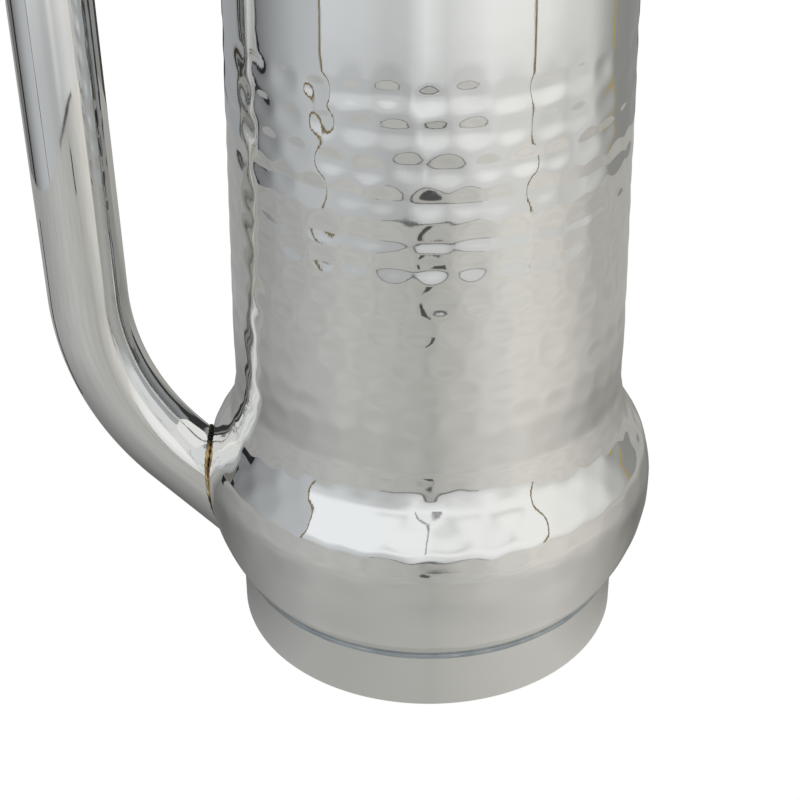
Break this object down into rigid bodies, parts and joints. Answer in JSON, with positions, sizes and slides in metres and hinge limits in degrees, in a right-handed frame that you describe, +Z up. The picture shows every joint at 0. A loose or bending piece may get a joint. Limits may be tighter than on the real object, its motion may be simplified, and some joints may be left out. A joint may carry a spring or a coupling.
{
  "type": "water pitcher",
  "caption": "Metal water pitcher: hammered, gently tapered neck and round belly in one sheet, on a ring foot, with a rolled rim, a pulled pouring lip and a bent tube handle.",
  "frame": {"origin": "centre of the foot ring, in the plane it stands on", "axes": "+Z up along the pitcher's axis, +X towards the pouring lip, the handle on the -X side, +Y to the left of someone looking along +X"},
  "size_m": [0.165, 0.117, 0.2314],
  "materials": {
    "hammered_steel": "hammered and polished",
    "polished_steel": "polished",
    "weld_metal": "heat tinted bead",
    "solder": "smoothed seam"
  },
  "bodies": {
    "root": {"body_shell": "hammered_steel", "floor_pan": "polished_steel", "floor_seam_weld": "solder", "foot_ring": "polished_steel", "foot_seam_weld": "solder", "handle_tube": "polished_steel", "handle_lower_weld": "weld_metal", "handle_upper_weld": "weld_metal", "rim_wire": "polished_steel"}
  },
  "joints": []
}
